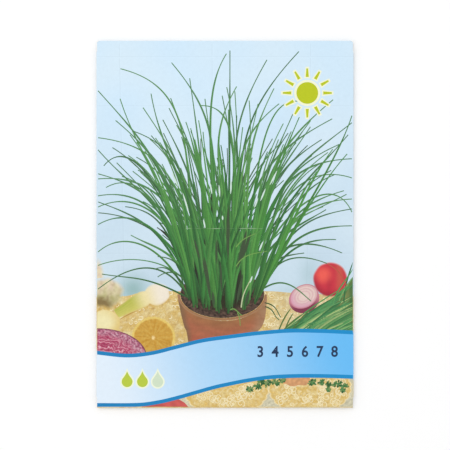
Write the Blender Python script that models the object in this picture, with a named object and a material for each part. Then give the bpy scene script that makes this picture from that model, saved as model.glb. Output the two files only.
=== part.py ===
"""A sealed paper seed packet, lying on its back with its printed front up.

The packet is one die-cut paper sheet. The front panel carries a flap on each side, which folds in
behind it; the back panel folds up from the bottom edge and is glued over those flaps; the top flap
folds down over the back panel and closes the mouth. Inside lies a heat-sealed sachet of two films
with the seeds in it.

The frame is in metres, +Z up. The origin is on the surface that the packet lies on, under its middle.
+Y points to the top edge and +X to the right edge of the printed front.
"""

import math

import bmesh
import bpy

MM = 0.001

# The finished packet.
PACKET_WIDTH = 80.5 * MM
PACKET_HEIGHT = 115.0 * MM
BULGE = 1.9 * MM
BULGE_MIDDLE_Y = -8.0 * MM
RIM_LIFT = 0.55 * MM

# The paper and the spaces between its layers.
PAPER = 0.12 * MM
PLY_GAP = 0.14 * MM
RIM_STACK = 3 * PAPER + 2 * PLY_GAP

# The flaps and panels of the sheet.
SIDE_FLAP_WIDTH = 11.0 * MM
SIDE_FLAP_END = 2.5 * MM
SIDE_FLAP_TAPER = 5.0 * MM
BACK_PANEL_INSET = 0.6 * MM
BACK_PANEL_SHORT = 0.8 * MM
TOP_FLAP_DEPTH = 20.0 * MM
TOP_FLAP_INSET = 0.6 * MM
TOP_FLAP_TAPER = 5.0 * MM

# The three kinds of fold, by the outside radius that the layers inside them need.
SIDE_FOLD = PAPER + PLY_GAP / 2
BOTTOM_FOLD = RIM_STACK / 2
TOP_FOLD = (RIM_STACK + PLY_GAP + PAPER) / 2

# The back rests on a flat field; beyond it the back rises to the rim.
REST_HALF_WIDTH = 14.0 * MM
REST_TOP = 20.5 * MM
REST_BOTTOM = -40.5 * MM
REST_SLOPE = 14.0 * MM

# The glue lines.
GLUE = 0.06 * MM
GLUE_GAP = (PLY_GAP - GLUE) / 2
SIDE_GLUE_WIDTH = 6.0 * MM
SIDE_GLUE_MIDDLE = 34.5 * MM
SIDE_GLUE_LENGTH = 98.0 * MM
TOP_GLUE_LENGTH = 66.0 * MM
TOP_GLUE_WIDTH = 10.0 * MM
TOP_GLUE_MIDDLE_Y = 46.0 * MM

# The sachet and the seeds.
SACHET_WIDTH = 57.0 * MM
SACHET_HEIGHT = 82.0 * MM
SACHET_SEAL = 4.0 * MM
FILM = 0.06 * MM
FILM_GAP = 0.04 * MM
SEAL_HEIGHT = 0.93 * MM
BACK_FILM_DEPTH = 0.66 * MM
FRONT_FILM_RISE = 1.78 * MM
SEED_HALF_WIDTH = 21.0 * MM
SEED_HALF_HEIGHT = 30.0 * MM
SEED_RISE = 1.15 * MM
SEED_CLEARANCE = 0.06 * MM

# How finely the surfaces are cut into flat faces.
COLUMNS = 16
ROWS = 22
FOLD_STEPS = 6
SIDE_FLAP_STEPS = 2
TOP_FLAP_STEPS = 4

# Where the flat part of the front panel ends and its folds begin.
FRONT_X = PACKET_WIDTH / 2 - SIDE_FOLD
FRONT_LOW = -PACKET_HEIGHT / 2 + BOTTOM_FOLD
FRONT_HIGH = PACKET_HEIGHT / 2 - TOP_FOLD


def clear_scene():
    for thing in list(bpy.data.objects):
        bpy.data.objects.remove(thing, do_unlink=True)


def finish(name, colour, roughness, metallic=0.0):
    made = bpy.data.materials.new(name)
    made.use_nodes = True
    shader = made.node_tree.nodes["Principled BSDF"]
    shader.inputs["Base Color"].default_value = (*colour, 1.0)
    shader.inputs["Roughness"].default_value = roughness
    shader.inputs["Metallic"].default_value = metallic
    return made


def ease(low, high, value):
    """0 below low, 1 above high, and a smooth step between."""
    share = min(1.0, max(0.0, (value - low) / (high - low)))
    return share * share * (3.0 - 2.0 * share)


def swell(share):
    """1 in the middle, falling to 0 with no slope where share is 1 or more."""
    return max(0.0, 1.0 - share * share) ** 1.5


def pillow(x, y, half_width, low, high, middle):
    """How full a pouch is at a point: 0 along its edges and 1 at its middle."""
    reach = (high - middle) if y > middle else (middle - low)
    return swell(x / half_width) * swell((y - middle) / reach)


def back_height(x, y):
    """The underside of the back panel: 0 on the resting field, RIM_LIFT at the rim."""
    across = 1.0 - ease(REST_HALF_WIDTH, REST_HALF_WIDTH + REST_SLOPE, abs(x))
    along = 1.0 - ease(REST_TOP, REST_TOP + REST_SLOPE, y)
    along *= ease(REST_BOTTOM - REST_SLOPE, REST_BOTTOM, y)
    return RIM_LIFT * (1.0 - across * along)


def front_height(x, y):
    """The printed face of the front panel."""
    full = pillow(x, y, FRONT_X, FRONT_LOW, FRONT_HIGH, BULGE_MIDDLE_Y)
    return RIM_LIFT + RIM_STACK + BULGE * full


def around_fold(past, radius):
    """How far out from the fold's start, and how far down, the sheet is after bending round."""
    angle = min(past / radius, math.pi)
    run_back = max(0.0, past - math.pi * radius)
    return radius * math.sin(angle) - run_back, radius * (1.0 - math.cos(angle))


def folded(x, y):
    """Where a point of the flat sheet's printed face lies once the sheet is folded."""
    if abs(x) > FRONT_X:
        out, down = around_fold(abs(x) - FRONT_X, SIDE_FOLD)
        side = math.copysign(FRONT_X + out, x)
        return side, y, RIM_LIFT + RIM_STACK - down
    if y < FRONT_LOW:
        past = FRONT_LOW - y
        out, down = around_fold(past, BOTTOM_FOLD)
        if past < math.pi * BOTTOM_FOLD:
            return x, FRONT_LOW - out, RIM_LIFT + RIM_STACK - down
        return x, FRONT_LOW - out, back_height(x, FRONT_LOW - out)
    if y > FRONT_HIGH:
        out, down = around_fold(y - FRONT_HIGH, TOP_FOLD)
        return x, FRONT_HIGH + out, RIM_LIFT + RIM_STACK - down
    return x, y, front_height(x, y)


def extrude_out(shape, edges, move):
    """Adds one strip of sheet along these edges and returns the strip's outer edges."""
    grown = bmesh.ops.extrude_edge_only(shape, edges=edges)["geom"]
    for corner in grown:
        if isinstance(corner, bmesh.types.BMVert):
            corner.co = move(corner.co)
    return [e for e in grown if isinstance(e, bmesh.types.BMEdge)]


def strip_steps(fold_radius, width, steps):
    """The lengths of sheet added one after another: round the fold, then along the flap."""
    round_fold = [math.pi * fold_radius / FOLD_STEPS] * FOLD_STEPS
    return round_fold + [width / steps] * steps


def shift(x=0.0, y=0.0):
    return lambda point: (point.x + x, point.y + y, 0.0)


def front_panel(shape):
    bmesh.ops.create_grid(shape, x_segments=COLUMNS, y_segments=ROWS, size=1.0)
    for corner in shape.verts:
        along = (corner.co.y + 1.0) / 2.0
        corner.co.x *= FRONT_X
        corner.co.y = FRONT_LOW + along * (FRONT_HIGH - FRONT_LOW)


def edges_at(shape, inside):
    return [e for e in shape.edges if all(inside(corner.co) for corner in e.verts)]


def add_side_flap(shape, side):
    """A flap on one side, clear of the corners, narrowing towards its free edge."""
    at_edge = side * FRONT_X
    reach = PACKET_HEIGHT / 2 - SIDE_FLAP_END
    edges = edges_at(shape, lambda p: abs(p.x - at_edge) < 1e-6 and abs(p.y) < reach)
    steps = strip_steps(SIDE_FOLD, SIDE_FLAP_WIDTH, SIDE_FLAP_STEPS)
    for number, length in enumerate(steps):
        on_flap = max(0, number + 1 - FOLD_STEPS)
        edges = extrude_out(shape, edges, shift(x=side * length))
        narrow = 1.0 - (SIDE_FLAP_TAPER / reach) / SIDE_FLAP_STEPS if on_flap else 1.0
        for corner in {corner for edge in edges for corner in edge.verts}:
            corner.co.y *= narrow


def add_back_panel(shape):
    """The back panel, past the bottom fold, a little narrower than the packet."""
    edges = edges_at(shape, lambda p: abs(p.y - FRONT_LOW) < 1e-6 and abs(p.x) <= FRONT_X)
    length = PACKET_HEIGHT - BOTTOM_FOLD - BACK_PANEL_SHORT
    narrow = (PACKET_WIDTH / 2 - BACK_PANEL_INSET) / FRONT_X
    for number, step in enumerate(strip_steps(BOTTOM_FOLD, length, ROWS)):
        edges = extrude_out(shape, edges, shift(y=-step))
        if number == FOLD_STEPS:
            for corner in {corner for edge in edges for corner in edge.verts}:
                corner.co.x *= narrow


def add_top_flap(shape):
    """The closing flap, past the top fold, narrowing towards its free edge."""
    edges = edges_at(shape, lambda p: abs(p.y - FRONT_HIGH) < 1e-6 and abs(p.x) <= FRONT_X)
    start = (PACKET_WIDTH / 2 - TOP_FLAP_INSET) / FRONT_X
    ratio = 1.0 - TOP_FLAP_TAPER / TOP_FLAP_STEPS / FRONT_X
    for number, step in enumerate(strip_steps(TOP_FOLD, TOP_FLAP_DEPTH, TOP_FLAP_STEPS)):
        edges = extrude_out(shape, edges, shift(y=step))
        narrow = start if number == 0 else 1.0 if number < FOLD_STEPS else ratio
        for corner in {corner for edge in edges for corner in edge.verts}:
            corner.co.x *= narrow


def add_object(name, shape, material):
    bmesh.ops.recalc_face_normals(shape, faces=shape.faces)
    mesh = bpy.data.meshes.new(name)
    shape.to_mesh(mesh)
    shape.free()
    mesh.materials.append(material)
    made = bpy.data.objects.new(name, mesh)
    bpy.context.scene.collection.objects.link(made)
    return made


def outer_envelope(paper):
    """The folded sheet. It is drawn flat, as the die cuts it, and then folded."""
    shape = bmesh.new()
    front_panel(shape)
    for side in (-1.0, 1.0):
        add_side_flap(shape, side)
    add_back_panel(shape)
    add_top_flap(shape)
    for corner in shape.verts:
        corner.co = folded(corner.co.x, corner.co.y)
    bmesh.ops.recalc_face_normals(shape, faces=shape.faces)
    shape.faces.ensure_lookup_table()
    front = max(shape.faces, key=lambda face: face.calc_center_median().z)
    if front.normal.z < 0.0:
        bmesh.ops.reverse_faces(shape, faces=shape.faces)
    mesh = bpy.data.meshes.new("outer_envelope")
    shape.to_mesh(mesh)
    shape.free()
    mesh.materials.append(paper)
    made = bpy.data.objects.new("outer_envelope", mesh)
    bpy.context.scene.collection.objects.link(made)
    wall = made.modifiers.new("paper thickness", "SOLIDIFY")
    wall.thickness = PAPER
    wall.offset = -1.0
    return made


def strip_box(name, middle, size, material):
    """A thin straight strip, given by its middle and its size."""
    shape = bmesh.new()
    bmesh.ops.create_cube(shape, size=1.0)
    bmesh.ops.scale(shape, vec=size, verts=shape.verts)
    bmesh.ops.translate(shape, vec=middle, verts=shape.verts)
    return add_object(name, shape, material)


def glue_lines(glue):
    """The two side seams, over the side flaps, and the seam that closes the top flap."""
    side_height = RIM_LIFT + PAPER + GLUE_GAP + GLUE / 2
    for name, side in (("side_seam_glue_left", -1.0), ("side_seam_glue_right", 1.0)):
        middle = (side * SIDE_GLUE_MIDDLE, 0.0, side_height)
        strip_box(name, middle, (SIDE_GLUE_WIDTH, SIDE_GLUE_LENGTH, GLUE), glue)
    top_height = RIM_LIFT - PLY_GAP / 2
    middle = (0.0, TOP_GLUE_MIDDLE_Y, top_height)
    strip_box("top_flap_glue", middle, (TOP_GLUE_LENGTH, TOP_GLUE_WIDTH, GLUE), glue)


def sachet_fullness(x, y):
    """0 along the heat seals and 1 over the seeds."""
    half_height = SACHET_HEIGHT / 2 - SACHET_SEAL
    low = BULGE_MIDDLE_Y - half_height
    high = BULGE_MIDDLE_Y + half_height
    return pillow(x, y, SACHET_WIDTH / 2 - SACHET_SEAL, low, high, BULGE_MIDDLE_Y)


def back_film_top(x, y):
    return SEAL_HEIGHT - BACK_FILM_DEPTH * sachet_fullness(x, y)


def front_film_top(x, y):
    return SEAL_HEIGHT + FILM_GAP + FILM + FRONT_FILM_RISE * sachet_fullness(x, y)


def film(name, top, material):
    """One rectangular film of the sachet, formed to the height that top gives."""
    shape = bmesh.new()
    bmesh.ops.create_grid(shape, x_segments=14, y_segments=20, size=1.0)
    for corner in shape.verts:
        x = corner.co.x * SACHET_WIDTH / 2
        y = BULGE_MIDDLE_Y + corner.co.y * SACHET_HEIGHT / 2
        corner.co = (x, y, top(x, y))
    made = add_object(name, shape, material)
    if made.data.polygons[0].normal.z < 0.0:
        made.data.flip_normals()
    wall = made.modifiers.new("film thickness", "SOLIDIFY")
    wall.thickness = FILM
    wall.offset = -1.0
    return made


def seed_fill(seed):
    """The seeds as one low heap, lying on the back film."""
    shape = bmesh.new()
    bmesh.ops.create_uvsphere(shape, u_segments=28, v_segments=12, radius=1.0)
    for corner in shape.verts:
        x = corner.co.x * SEED_HALF_WIDTH
        y = BULGE_MIDDLE_Y + corner.co.y * SEED_HALF_HEIGHT
        floor = back_film_top(x, y) + SEED_CLEARANCE
        rise = SEED_RISE * max(0.0, corner.co.z)
        sag = 0.25 * SEED_CLEARANCE * min(0.0, corner.co.z)
        corner.co = (x, y, floor + rise + sag)
    return add_object("seed_fill", shape, seed)


def main():
    clear_scene()
    paper = finish("printed coated paper", (0.62, 0.78, 0.92), 0.42)
    glue = finish("dried glue", (0.86, 0.84, 0.76), 0.5)
    foil = finish("foil laminate", (0.78, 0.79, 0.80), 0.35, metallic=0.9)
    seed = finish("chive seed", (0.012, 0.011, 0.010), 0.6)
    outer_envelope(paper)
    glue_lines(glue)
    film("sachet_back_film", back_film_top, foil)
    film("sachet_front_film", front_film_top, foil)
    seed_fill(seed)


main()
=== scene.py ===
"""Looks of a sealed paper seed packet that lies on its back, printed front up.

The CAD gives the packet's size and its folds. Here its paper gets a fine mesh, and the picture on
its front is drawn as ink: thin pieces that follow the paper, one for each thing in the picture.
Picture places are in millimetres, across (u) and up (v) from the front's lower left corner.
Levels are in micrometres above the paper.
"""

import random
from math import copysign, cos, exp, hypot, pi, radians, sin, sqrt, tan

import bmesh
import bpy
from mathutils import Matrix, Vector, noise


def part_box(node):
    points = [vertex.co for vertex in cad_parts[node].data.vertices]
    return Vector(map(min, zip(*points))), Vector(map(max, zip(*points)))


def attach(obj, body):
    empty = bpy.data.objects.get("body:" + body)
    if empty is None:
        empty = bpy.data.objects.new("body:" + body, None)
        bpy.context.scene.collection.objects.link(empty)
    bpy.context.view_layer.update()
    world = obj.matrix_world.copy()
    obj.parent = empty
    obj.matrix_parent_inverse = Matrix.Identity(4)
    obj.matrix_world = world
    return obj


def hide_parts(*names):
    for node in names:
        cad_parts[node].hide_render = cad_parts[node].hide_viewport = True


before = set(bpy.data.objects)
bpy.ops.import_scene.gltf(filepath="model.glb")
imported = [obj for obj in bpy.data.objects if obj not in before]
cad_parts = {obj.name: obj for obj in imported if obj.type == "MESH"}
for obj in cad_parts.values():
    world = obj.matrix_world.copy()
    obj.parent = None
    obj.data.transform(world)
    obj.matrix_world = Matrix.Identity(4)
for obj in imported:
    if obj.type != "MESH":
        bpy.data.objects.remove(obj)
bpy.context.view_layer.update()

MM = 0.001
MICRON = 0.001
LOW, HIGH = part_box("outer_envelope")
WIDTH = (HIGH[0] - LOW[0]) / MM
HEIGHT = (HIGH[1] - LOW[1]) / MM
THICKNESS = (HIGH[2] - LOW[2]) / MM
MIDDLE_X = (HIGH[0] + LOW[0]) / 2 / MM
MIDDLE_Y = (HIGH[1] + LOW[1]) / 2 / MM

# The folded sheet, in millimetres. These are the CAD's own dimensions.
PAPER = 0.12
PLY_GAP = 0.14
RIM_LIFT = 0.55
RIM_STACK = 3 * PAPER + 2 * PLY_GAP
RIM_TOP = RIM_LIFT + RIM_STACK
BULGE = THICKNESS - RIM_TOP
BULGE_MIDDLE_Y = -8.0
SIDE_FOLD = PAPER + PLY_GAP / 2
BOTTOM_FOLD = RIM_STACK / 2
TOP_FOLD = (RIM_STACK + PLY_GAP + PAPER) / 2
SIDE_FLAP_WIDTH = 11.0
SIDE_FLAP_END = 2.5
SIDE_FLAP_TAPER = 5.0
BACK_PANEL_INSET = 0.6
BACK_PANEL_SHORT = 0.8
TOP_FLAP_DEPTH = 20.0
TOP_FLAP_INSET = 0.6
TOP_FLAP_TAPER = 5.0
REST_HALF_WIDTH = 14.0
REST_TOP = 20.5
REST_BOTTOM = -40.5
REST_SLOPE = 14.0
SACHET_HALF_WIDTH = 28.5
SACHET_HALF_HEIGHT = 41.0
SACHET_MARK = 0.03
FRONT_X = WIDTH / 2 - SIDE_FOLD
FRONT_LOW = -HEIGHT / 2 + BOTTOM_FOLD
FRONT_HIGH = HEIGHT / 2 - TOP_FOLD
PAPER_COLUMNS = 80
PAPER_ROWS = 114
FOLD_STEPS = 8
SIDE_FLAP_ROWS = 11
TOP_FLAP_ROWS = 20
NEAR = 0.0001

# How far the picture stays from the folds.
PRINT_SIDE = SIDE_FOLD + 0.01
PRINT_BOTTOM = BOTTOM_FOLD + 0.01
PRINT_TOP = TOP_FOLD + 0.01

# Fine fibres in the paper, in cycles per metre.
FIBRES = 2600.0

# What the coated paper mirrors of a white room, taken off every printed colour.
SHEEN = 0.018


def linear(channel):
    share = channel / 255.0
    if share <= 0.04045:
        return share / 12.92
    return ((share + 0.055) / 1.055) ** 2.4


def ink(red, green, blue):
    """A printed colour, given as it looks on a screen in white light."""
    return tuple(max(0.002, linear(channel) - SHEEN) for channel in (red, green, blue))


def mix(first, second, share):
    share = min(1.0, max(0.0, share))
    return tuple(a + (b - a) * share for a, b in zip(first, second))


def dim(colour, factor):
    return tuple(channel * factor for channel in colour)


def ease(low, high, value):
    """0 below low, 1 above high, and a smooth step between."""
    share = min(1.0, max(0.0, (value - low) / (high - low)))
    return share * share * (3.0 - 2.0 * share)


def grain(u, v, size, seed=0.0):
    """Smooth noise from -1 to 1 with features of about this size."""
    return noise.noise(Vector((u / size, v / size, seed)))


def smooth_curve(points):
    """A smooth function of u through these (u, v) points."""
    def value(u):
        if u <= points[0][0]:
            return points[0][1]
        for number in range(len(points) - 1):
            (u0, v0), (u1, v1) = points[number], points[number + 1]
            if u <= u1:
                before = points[max(0, number - 1)]
                after = points[min(len(points) - 1, number + 2)]
                slope0 = (v1 - before[1]) / (u1 - before[0])
                slope1 = (after[1] - v0) / (after[0] - u0)
                t = (u - u0) / (u1 - u0)
                run = u1 - u0
                return (
                    (2 * t**3 - 3 * t**2 + 1) * v0
                    + (t**3 - 2 * t**2 + t) * run * slope0
                    + (-2 * t**3 + 3 * t**2) * v1
                    + (t**3 - t**2) * run * slope1
                )
        return points[-1][1]
    return value


# ---- the paper's shape


def swell(share):
    """1 in the middle, falling to 0 with no slope where share is 1 or more."""
    return max(0.0, 1.0 - share * share) ** 1.5


def sachet_mark(x, y):
    """The faint step that the sachet's edge presses into the front."""
    across = 1.0 - ease(SACHET_HALF_WIDTH - 3.0, SACHET_HALF_WIDTH + 3.0, abs(x))
    along = 1.0 - ease(SACHET_HALF_HEIGHT - 3.0, SACHET_HALF_HEIGHT + 3.0, abs(y - BULGE_MIDDLE_Y))
    return SACHET_MARK * across * along


def front_height(x, y):
    reach = (FRONT_HIGH - BULGE_MIDDLE_Y) if y > BULGE_MIDDLE_Y else (BULGE_MIDDLE_Y - FRONT_LOW)
    full = swell(x / FRONT_X) * swell((y - BULGE_MIDDLE_Y) / reach)
    soft = 0.04 * full**0.5 * grain(x, y, 22.0, 3.0) if full > 0.0 else 0.0
    return RIM_TOP + BULGE * full + soft + sachet_mark(x, y) * ease(0.0, 0.1, full)


def back_height(x, y):
    across = 1.0 - ease(REST_HALF_WIDTH, REST_HALF_WIDTH + REST_SLOPE, abs(x))
    along = 1.0 - ease(REST_TOP, REST_TOP + REST_SLOPE, y)
    along *= ease(REST_BOTTOM - REST_SLOPE, REST_BOTTOM, y)
    return RIM_LIFT * (1.0 - across * along)


def around_fold(past, radius):
    angle = min(past / radius, pi)
    run_back = max(0.0, past - pi * radius)
    return radius * sin(angle) - run_back, radius * (1.0 - cos(angle))


def folded(x, y):
    """Where a point of the flat sheet's printed face lies once the sheet is folded."""
    if abs(x) > FRONT_X + 0.001 and FRONT_LOW - 0.001 < y < FRONT_HIGH + 0.001:
        out, down = around_fold(abs(x) - FRONT_X, SIDE_FOLD)
        return copysign(FRONT_X + out, x), y, RIM_TOP - down
    if y < FRONT_LOW:
        past = FRONT_LOW - y
        out, down = around_fold(past, BOTTOM_FOLD)
        if past < pi * BOTTOM_FOLD:
            return x, FRONT_LOW - out, RIM_TOP - down
        return x, FRONT_LOW - out, back_height(x, FRONT_LOW - out)
    if y > FRONT_HIGH:
        out, down = around_fold(y - FRONT_HIGH, TOP_FOLD)
        return x, FRONT_HIGH + out, RIM_TOP - down
    return x, y, front_height(x, y)


def in_row(x, y, z):
    return ((x + MIDDLE_X) * MM, (y + MIDDLE_Y) * MM, z * MM + LOW[2])


# ---- materials


def node(tree, kind, **values):
    """A shader node. A value that comes out of another node is linked in."""
    made = tree.nodes.new(kind)
    for name, value in values.items():
        if name not in made.inputs:
            setattr(made, name, value)
        elif isinstance(value, bpy.types.NodeSocket):
            tree.links.new(value, made.inputs[name])
        else:
            made.inputs[name].default_value = value
    return made


def new_material(name):
    made = bpy.data.materials.new(name)
    made.use_nodes = True
    tree = made.node_tree
    place = node(tree, "ShaderNodeTexCoord").outputs["Object"]
    return made, tree, tree.nodes["Principled BSDF"], place


def stretched(tree, value, to_low, to_high, from_low=0.0, from_high=1.0):
    """The value, stretched from one range to the other."""
    limits = {"From Min": from_low, "From Max": from_high, "To Min": to_low, "To Max": to_high}
    return node(tree, "ShaderNodeMapRange", Value=value, **limits).outputs["Result"]


def surface(tree, shader, texture, gloss, strength, distance):
    """Unevenness in the gloss, between two roughnesses, and in the relief."""
    tree.links.new(stretched(tree, texture, *gloss), shader.inputs["Roughness"])
    bump = node(tree, "ShaderNodeBump", Strength=strength, Distance=distance, Height=texture)
    tree.links.new(bump.outputs["Normal"], shader.inputs["Normal"])


def printed_material(name, pattern="fine", size=0.5, depth=0.10, rough=0.42, sheen=0.3):
    """Coated paper in a printed colour. The pattern is the drawn thing's own texture."""
    made, tree, shader, place = new_material(name)
    tint = node(tree, "ShaderNodeAttribute", attribute_name="tint").outputs["Color"]
    scale = 1.0 / (size * MM)
    if pattern == "fine":
        texture = node(tree, "ShaderNodeTexNoise", Vector=place, Scale=scale, Detail=4.0, Roughness=0.65)
        value = texture.outputs["Fac"]
        limits = (0.25, 0.75)
    else:
        feature, highest = {"cells": ("F1", 0.8), "weave": ("DISTANCE_TO_EDGE", 0.4)}[pattern]
        texture = node(tree, "ShaderNodeTexVoronoi", feature=feature, Vector=place, Scale=scale)
        value = texture.outputs["Distance"]
        limits = (0.0, highest)
    factor = stretched(tree, value, 1.0 - depth, 1.0 + depth, *limits)
    coloured = node(tree, "ShaderNodeVectorMath", operation="SCALE", Vector=tint, Scale=factor)
    tree.links.new(coloured.outputs["Vector"], shader.inputs["Base Color"])
    fibres = node(tree, "ShaderNodeTexNoise", Vector=place, Scale=FIBRES, Detail=5.0, Roughness=0.6)
    surface(tree, shader, fibres.outputs["Fac"], (rough - 0.07, rough + 0.07), 0.25, 0.00001)
    shader.inputs["Specular IOR Level"].default_value = sheen
    return made


def plain_material(name, colour, rough, metallic=0.0, scale=900.0, depth=0.12, relief=0.00002):
    """A solid material with fine variation in its colour, gloss and relief."""
    made, tree, shader, place = new_material(name)
    texture = node(tree, "ShaderNodeTexNoise", Vector=place, Scale=scale, Detail=5.0, Roughness=0.6)
    ramp = node(tree, "ShaderNodeValToRGB", Fac=texture.outputs["Fac"])
    for stop, position, light in zip(ramp.color_ramp.elements, (0.3, 0.7), (1.0 - depth, 1.0 + depth)):
        stop.position = position
        stop.color = (*dim(colour, light), 1.0)
    tree.links.new(ramp.outputs["Color"], shader.inputs["Base Color"])
    surface(tree, shader, texture.outputs["Fac"], (max(0.05, rough - 0.1), rough + 0.1), 0.4, relief)
    shader.inputs["Metallic"].default_value = metallic
    return made


def show(name, data):
    """An object of this data, in the scene."""
    made = bpy.data.objects.new(name, data)
    bpy.context.scene.collection.objects.link(made)
    return made


# ---- drawing on the front


class Drawing:
    """Collects the ink of one thing in the picture, and makes one piece of it."""

    def __init__(self, name):
        self.name = name
        self.spots = []
        self.tints = []
        self.faces = []

    def add(self, u, v, level, tint):
        u = min(WIDTH - PRINT_SIDE, max(PRINT_SIDE, u))
        v = min(HEIGHT - PRINT_TOP, max(PRINT_BOTTOM, v))
        x = u - WIDTH / 2
        y = v - HEIGHT / 2
        self.spots.append(in_row(x, y, front_height(x, y) + level * MICRON))
        self.tints.append((*tint, 1.0))
        return len(self.spots) - 1

    def join(self, rows):
        """Faces between each row of corners and the next."""
        for near, far in zip(rows, rows[1:]):
            for k in range(len(near) - 1):
                self.faces.append((near[k], near[k + 1], far[k + 1], far[k]))

    def strip(self, path, width, columns, tint, level):
        """A band along a path. width(t) and tint(t, side, spot) run with t from 0 to 1."""
        last = len(path) - 1
        rows = []
        for number, (u, v) in enumerate(path):
            u0, v0 = path[max(0, number - 1)]
            u1, v1 = path[min(last, number + 1)]
            run = hypot(u1 - u0, v1 - v0) or 1.0
            t = number / last
            half = width(t) / 2
            row = []
            for column in range(columns + 1):
                side = 2 * column / columns - 1
                spot = (u + (v1 - v0) / run * half * side, v - (u1 - u0) / run * half * side)
                row.append(self.add(*spot, level, tint(t, side, spot)))
            rows.append(row)
        self.join(rows)

    def ribbon(self, path, width, tint, level):
        """A strip with a middle line and two edges. Its tint(t, side) is the same wherever it lies."""
        self.strip(path, width, 2, lambda t, side, spot: tint(t, side), level)

    def disc(self, centre, outline, tint, level, rings=16, spokes=56):
        """A filled outline round a centre. outline(angle) is (du, dv); tint(u, v, share, angle)."""
        start = self.add(*centre, level, tint(*centre, 0.0, 0.0))
        lines = []
        for ring in range(1, rings + 1):
            share = ring / rings
            line = []
            for spoke in range(spokes):
                angle = 2 * pi * spoke / spokes
                du, dv = outline(angle)
                u = centre[0] + du * share
                v = centre[1] + dv * share
                line.append(self.add(u, v, level, tint(u, v, share, angle)))
            lines.append(line + line[:1])
        self.faces += [(start, *side) for side in zip(lines[0], lines[0][1:])]
        self.join(list(zip(*lines)))

    def field(self, start, stop, low, high, tint, level, step=1.0, rows=20):
        """Everything from the curve low(u) up to the curve high(u)."""
        columns = max(1, round((stop - start) / step))
        lines = []
        for column in range(columns + 1):
            u = start + (stop - start) * column / columns
            heights = [low(u) + (high(u) - low(u)) * row / rows for row in range(rows + 1)]
            lines.append([self.add(u, v, level, tint(u, v)) for v in heights])
        self.join(list(zip(*lines)))

    def finish(self, **look):
        """Makes the piece. look is what printed_material takes."""
        mesh = bpy.data.meshes.new(self.name)
        mesh.from_pydata(self.spots, [], self.faces)
        mesh.update()
        tints = mesh.color_attributes.new("tint", "FLOAT_COLOR", "POINT")
        for number, tint in enumerate(self.tints):
            tints.data[number].color = tint
        shape = bmesh.new()
        shape.from_mesh(mesh)
        for face in shape.faces:
            face.smooth = True
            if face.normal.z < 0.0:
                face.normal_flip()
        shape.to_mesh(mesh)
        shape.free()
        mesh.materials.append(printed_material(self.name.replace("_", " ") + " ink", **look))
        made = show(self.name, mesh)
        made.visible_shadow = False
        made.visible_diffuse = False
        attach(made, "root")


def ellipse(half_width, half_height, turn=0.0, wobble=0.0, seed=0.0):
    """An outline for disc: an ellipse, turned, with an uneven edge."""
    def outline(angle):
        uneven = 1.0 + wobble * noise.noise(Vector((2 * cos(angle), 2 * sin(angle), seed)))
        u = half_width * cos(angle) * uneven
        v = half_height * sin(angle) * uneven
        return (
            u * cos(turn) - v * sin(turn),
            u * sin(turn) + v * cos(turn),
        )
    return outline


def bezier(base, base_lean, tip, tip_lean, rise=0.55, sweep=0.38, step=0.9):
    """A path from base to tip. Leans are in degrees from straight up, positive to the right."""
    reach = hypot(tip[0] - base[0], tip[1] - base[1])
    a = radians(base_lean)
    b = radians(tip_lean)
    first = (base[0] + rise * reach * sin(a), base[1] + rise * reach * cos(a))
    second = (tip[0] - sweep * reach * sin(b), tip[1] - sweep * reach * cos(b))
    points = (base, first, second, tip)
    count = max(4, round(reach / step))
    path = []
    for number in range(count + 1):
        t = number / count
        weights = ((1 - t) ** 3, 3 * t * (1 - t) ** 2, 3 * t * t * (1 - t), t**3)
        path.append(tuple(sum(w * point[axis] for w, point in zip(weights, points)) for axis in (0, 1)))
    return path


def spiral(centre, radius, turn, sweep, steps, shrink, flatness=1.0):
    """A path that winds in towards a centre."""
    path = []
    for k in range(steps + 1):
        away = radius * (1 - shrink * k / steps)
        angle = turn + sweep * k / steps
        path.append((centre[0] + away * cos(angle), centre[1] + flatness * away * sin(angle)))
    return path


def some_tone(rng, first, second):
    """A random mix of one colour from each list."""
    return mix(rng.choice(first), rng.choice(second), rng.random())


# ---- the picture's background

BAND_TOP = smooth_curve([(0, 17.9), (9.6, 17), (17.4, 17.8), (25, 19.7), (33, 21.7), (42, 23),
                         (50, 24), (60, 24.8), (70, 24.7), (80.5, 24.2)])
BAND_BOTTOM = smooth_curve([(0, 0.3), (13.6, 0.4), (20, 1.3), (25, 2.5), (31, 4.2), (37, 5.9),
                            (42, 7), (46.5, 7.9), (54, 9), (62, 9.4), (70, 9.4), (80.5, 9.1)])
BAND_LINE = 1.2
WALL_FOOT = 33
TILE_JOINTS_ACROSS = (8, 36.3, 66.4)
TILE_JOINTS_UP = (110, 94.6, 79.2, 63.8, 48.4)

SKY = ink(207, 232, 250)
SKY_LOW = ink(195, 216, 231)
SKY_PALE = ink(219, 236, 246)
WALL_SHADE = ink(150, 184, 184)
CLOTH = ink(223, 196, 126)
CLOTH_GOLD = ink(211, 172, 92)
CLOTH_PALE = ink(233, 215, 160)


def patch(u, v, middle_u, middle_v, reach_u, reach_v):
    """1 at the middle of a soft patch, fading out around it."""
    return exp(-(((u - middle_u) / reach_u) ** 2) - (((v - middle_v) / reach_v) ** 2))


def wall_tint(u, v):
    tint = mix(SKY_LOW, SKY, ease(35, 105, v))
    tint = mix(tint, SKY_PALE, 0.35 + 0.4 * grain(u, v, 16, 1))
    shade = patch(u, v, 11.5, 37, 4.5, 4.5)
    shade += 0.30 * patch(u, v, 62, 37, 6, 1.6)
    shade += 0.35 * patch(u, v, 66.5, 42, 3, 5)
    return mix(tint, WALL_SHADE, 0.95 * shade)


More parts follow.
